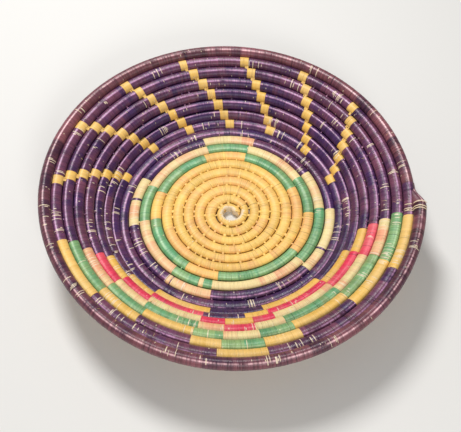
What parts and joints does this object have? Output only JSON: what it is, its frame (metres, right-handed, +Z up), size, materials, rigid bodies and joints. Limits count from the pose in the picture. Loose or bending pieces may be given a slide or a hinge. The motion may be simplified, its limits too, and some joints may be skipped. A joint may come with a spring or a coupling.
{
  "type": "coiled bowl basket",
  "caption": "Shallow round coiled basket with a flat floor, flaring wall and an open eye in the middle, wrapped in dyed leaf strands with a star ring and a stepped band.",
  "frame": {"origin": "under the middle of the basket outline, on the plane that it rests on", "axes": "+Z up through the bowl, +X towards the side where the coil ends at the rim, +Y to the left of it seen from above"},
  "size_m": [0.3324, 0.3322, 0.0599],
  "materials": {
    "straw": "dry grass bundle, matt",
    "natural": "undyed golden leaf strands, satin",
    "cream": "pale undyed leaf strands, satin",
    "green": "green dyed leaf strands, satin",
    "pink": "pink-red dyed leaf strands, satin",
    "purple": "dark purple dyed leaf strands, satin with a sheen",
    "plum": "faded red-brown purple leaf strands, satin"
  },
  "bodies": {
    "root": {"foundation_coil": "straw", "start_wrap": "natural", "turn_01_natural": "natural", "turn_02_natural": "natural", "turn_03_natural": "natural", "turn_04_natural": "natural", "turn_05_natural": "natural", "turn_06_green_a": "green", "turn_06_natural_a": "natural", "turn_06_green_b": "green", "turn_06_natural_b": "natural", "turn_06_green_c": "green", "turn_06_natural_c": "natural", "turn_06_green_d": "green", "turn_06_natural_d": "natural", "turn_07_green_a": "green", "turn_07_cream_a": "cream", "turn_07_green_b": "green", "turn_07_cream_b": "cream", "turn_07_green_c": "green", "turn_07_cream_c": "cream", "turn_07_green_d": "green", "turn_07_cream_d": "cream", "turn_07_green_e": "green", "turn_08_cream_a": "cream", "turn_08_purple_a": "purple", "turn_08_cream_b": "cream", "turn_08_purple_b": "purple", "turn_08_cream_c": "cream", "turn_08_purple_c": "purple", "turn_08_cream_d": "cream", "turn_08_purple_d": "purple", "turn_08_cream_e": "cream", "turn_09_purple_a": "purple", "turn_09_purple_b": "purple", "turn_10_purple": "purple", "turn_10_band": "natural", "turn_11_purple": "purple", "turn_11_band": "pink", "turn_12_purple": "purple", "turn_12_band": "cream", "turn_13_purple": "purple", "turn_13_band": "pink", "turn_14_purple": "purple", "turn_14_band": "cream", "turn_15_purple": "purple", "turn_15_band": "green", "turn_16_purple": "purple", "turn_16_band": "natural", "turn_17_rim_a": "plum", "turn_17_rim_b": "plum", "turn_17_rim_c": "plum", "tail_wrap": "plum"}
  },
  "joints": []
}
